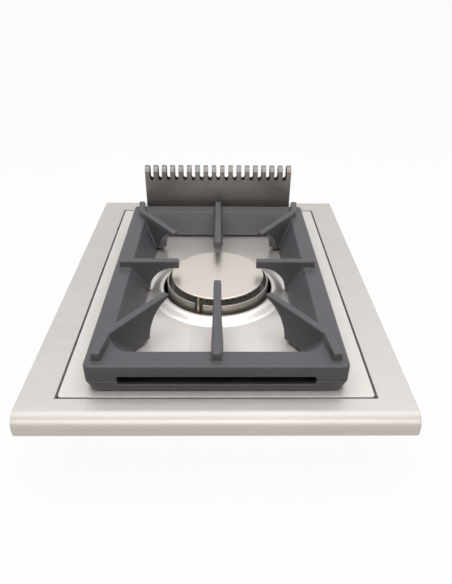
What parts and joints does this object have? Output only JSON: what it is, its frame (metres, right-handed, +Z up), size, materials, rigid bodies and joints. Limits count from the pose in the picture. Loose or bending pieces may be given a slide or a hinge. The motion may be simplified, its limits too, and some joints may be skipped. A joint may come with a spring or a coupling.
{
  "type": "gas burner module",
  "caption": "Drop-in gas burner module for an outdoor kitchen worktop: rounded-nose steel frame, hob tray, round burner, cast iron pan support and comb-topped flue cover.",
  "frame": {"origin": "centre of the bounding box's underside, on the base of the lower casing", "axes": "+Z up, +X to the right of a cook who stands at the rounded nose, +Y away from the cook, so the nose faces -Y and the flue cover is at +Y"},
  "size_m": [0.4, 0.525, 0.193],
  "materials": {
    "worktop_steel": "satin brushed stainless steel, warm light grey",
    "tray_steel": "brushed stainless steel, polished at the pressed dome",
    "flue_steel": "dark brushed stainless steel",
    "band_steel": "bright rolled steel with a thin lip",
    "cap_steel": "fine satin, champagne tone, bright rounded edge",
    "grate_iron": "matt charcoal enamel on sand-cast iron",
    "galvanised": "hot-dip galvanised sheet, faint spangle",
    "zinc_screws": "zinc plated",
    "cast_aluminium": "as-cast aluminium, slightly rough",
    "dark_alloy": "dark heat-stained alloy, machined ports",
    "tap_brass": "machined brass",
    "spindle_steel": "bright turned steel",
    "pipe_steel": "bright drawn steel pipe",
    "sheath_metal": "heat-stained metal sheath, gold brown",
    "copper_lead": "bare copper capillary",
    "ceramic": "glazed white ceramic with a steel pin",
    "black_rubber": "black closed-cell foam and lead insulation",
    "red_silicone": "heat-proof silicone strip",
    "black_plastic": "moulded housing"
  },
  "bodies": {
    "root": {"worktop_frame": "worktop_steel", "nose_end_caps": "worktop_steel", "worktop_seal": "black_rubber", "upper_pan": "galvanised", "tray_ledge": "galvanised", "tray_seal": "red_silicone", "flue_duct": "galvanised", "lower_casing": "galvanised", "service_plate": "galvanised", "casing_screws": "zinc_screws", "service_screws": "zinc_screws", "burner_bridge": "galvanised", "bridge_screws": "zinc_screws", "burner_screws": "zinc_screws", "burner_body": "cast_aluminium", "mixing_tube": "pipe_steel", "burner_shroud": "band_steel", "injector_holder": "tap_brass", "injector": "tap_brass", "gas_tap": "tap_brass", "tap_screws": "zinc_screws", "burner_pipe": "pipe_steel", "supply_pipe": "pipe_steel", "pipe_nuts": "tap_brass", "inlet_connector": "tap_brass", "inlet_backnut": "tap_brass", "thermocouple": "sheath_metal", "thermocouple_lead": "copper_lead", "ignition_electrode": "ceramic", "ignition_lead": "black_rubber", "ignition_generator": "black_plastic", "sensor_nuts": "zinc_screws"},
    "tray": {"hob_tray": "tray_steel", "tray_skirt": "tray_steel", "flue_collar": "tray_steel"},
    "flue_cover": {"flue_cover": "flue_steel"},
    "lower_ring": {"grate_base": "grate_iron"},
    "pan_support": {"grate": "grate_iron", "grate_fingers": "grate_iron"},
    "spreader": {"flame_spreader": "dark_alloy"},
    "cap": {"burner_cap": "cap_steel"},
    "shutter": {"air_shutter": "galvanised"},
    "tap_plug": {"tap_plug": "tap_brass", "spindle_spring": "spindle_steel"},
    "spindle": {"tap_spindle": "spindle_steel", "spindle_clip": "spindle_steel"}
  },
  "joints": [
    {"name": "tray_lift", "type": "slide", "parent": "root", "child": "tray", "axis": [0, 0, 1], "range_m": [0, 0.08]},
    {"name": "flue_cover_lift", "type": "slide", "parent": "tray", "child": "flue_cover", "axis": [0, 0, 1], "range_m": [0, 0.06]},
    {"name": "lower_ring_lift", "type": "slide", "parent": "tray", "child": "lower_ring", "axis": [0, 0, 1], "range_m": [0, 0.06]},
    {"name": "pan_support_lift", "type": "slide", "parent": "lower_ring", "child": "pan_support", "axis": [0, 0, 1], "range_m": [0, 0.08]},
    {"name": "spreader_lift", "type": "slide", "parent": "root", "child": "spreader", "axis": [0, 0, 1], "range_m": [0, 0.009]},
    {"name": "cap_lift", "type": "slide", "parent": "spreader", "child": "cap", "axis": [0, 0, 1], "range_m": [0, 0.009]},
    {"name": "air_shutter_turn", "type": "hinge", "parent": "root", "child": "shutter", "pos_m": [0, -0.0268, 0.034], "axis": [0, 0, 1], "range_deg": [0, 40]},
    {"name": "tap_turn", "type": "hinge", "parent": "root", "child": "tap_plug", "pos_m": [0.09, -0.16, 0.053], "axis": [0, -1, 0], "range_deg": [0, 180]},
    {"name": "tap_push", "type": "slide", "parent": "tap_plug", "child": "spindle", "axis": [0, 1, 0], "range_m": [0, 0.003], "stiffness_N_per_m": 500, "springref_m": -0.003, "deforming": ["spindle_spring"]}
  ]
}
